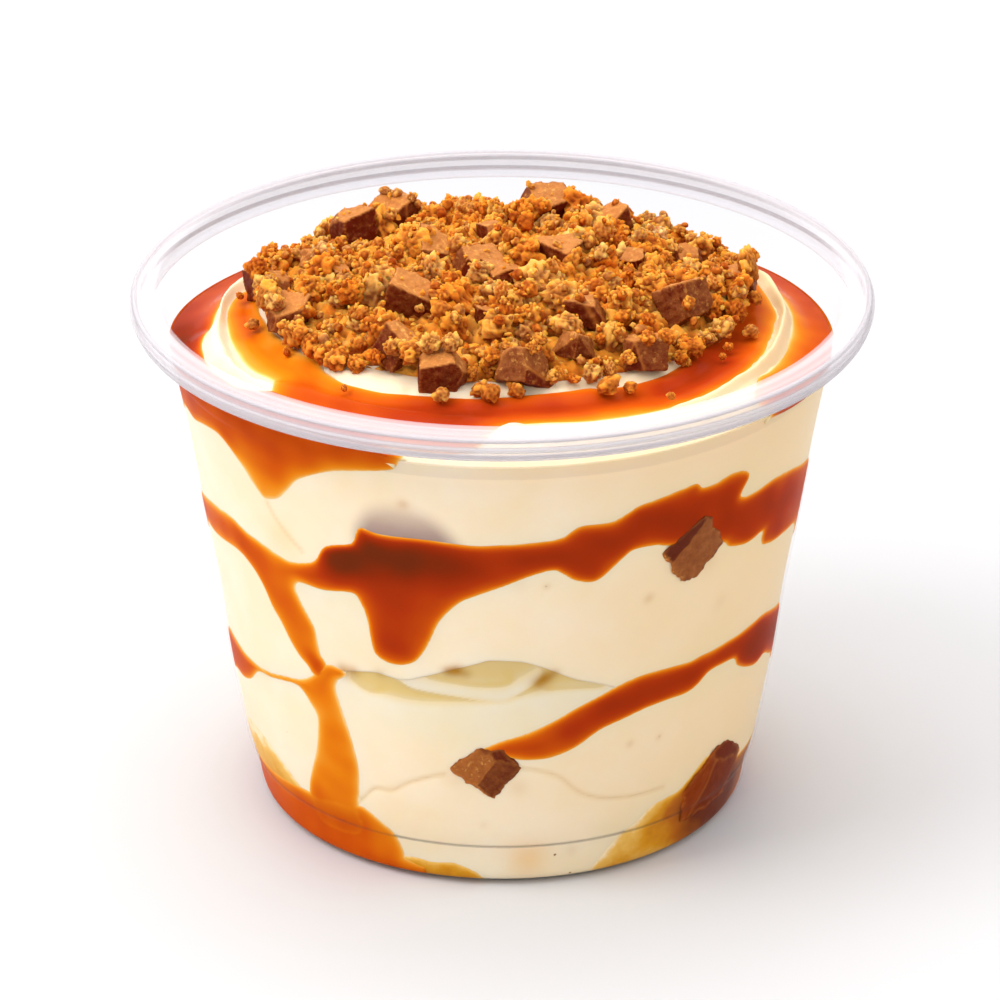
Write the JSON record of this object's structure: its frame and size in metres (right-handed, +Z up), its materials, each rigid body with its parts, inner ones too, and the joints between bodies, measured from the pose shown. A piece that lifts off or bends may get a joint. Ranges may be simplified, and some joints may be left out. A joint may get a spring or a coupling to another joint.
{
  "type": "tiramisu dessert in a clear cup",
  "caption": "Layered cream dessert with caramel and sponge in a clear round cup, topped with a caramel swirl and a heap of biscuit crumbs and chocolate pieces",
  "frame": {"origin": "on the table under the middle of the cup's foot", "axes": "+Z up, -Y towards the viewer, +X to the viewer's right"},
  "size_m": [0.095, 0.095, 0.0765],
  "materials": {
    "clear_plastic": "clear thermoformed plastic, glossy",
    "cream": "whipped mascarpone cream, smooth and soft",
    "caramel": "glossy caramel sauce",
    "sponge": "soaked porous sponge",
    "crumbs": "rough golden biscuit crumbs",
    "chocolate": "matt milk chocolate"
  },
  "bodies": {
    "root": {"cup": "clear_plastic", "caramel_pool": "caramel", "sponge_base": "sponge", "cream_lower": "cream", "caramel_lower": "caramel", "cream_middle": "cream", "caramel_middle": "caramel", "cream_upper": "cream", "caramel_ring": "caramel", "caramel_swirl": "caramel", "crumb_topping": "crumbs", "chocolate_chunk_front": "chocolate", "chocolate_chunk_right": "chocolate", "chocolate_chunk_left": "chocolate", "chocolate_chunk_base": "chocolate"}
  },
  "joints": []
}
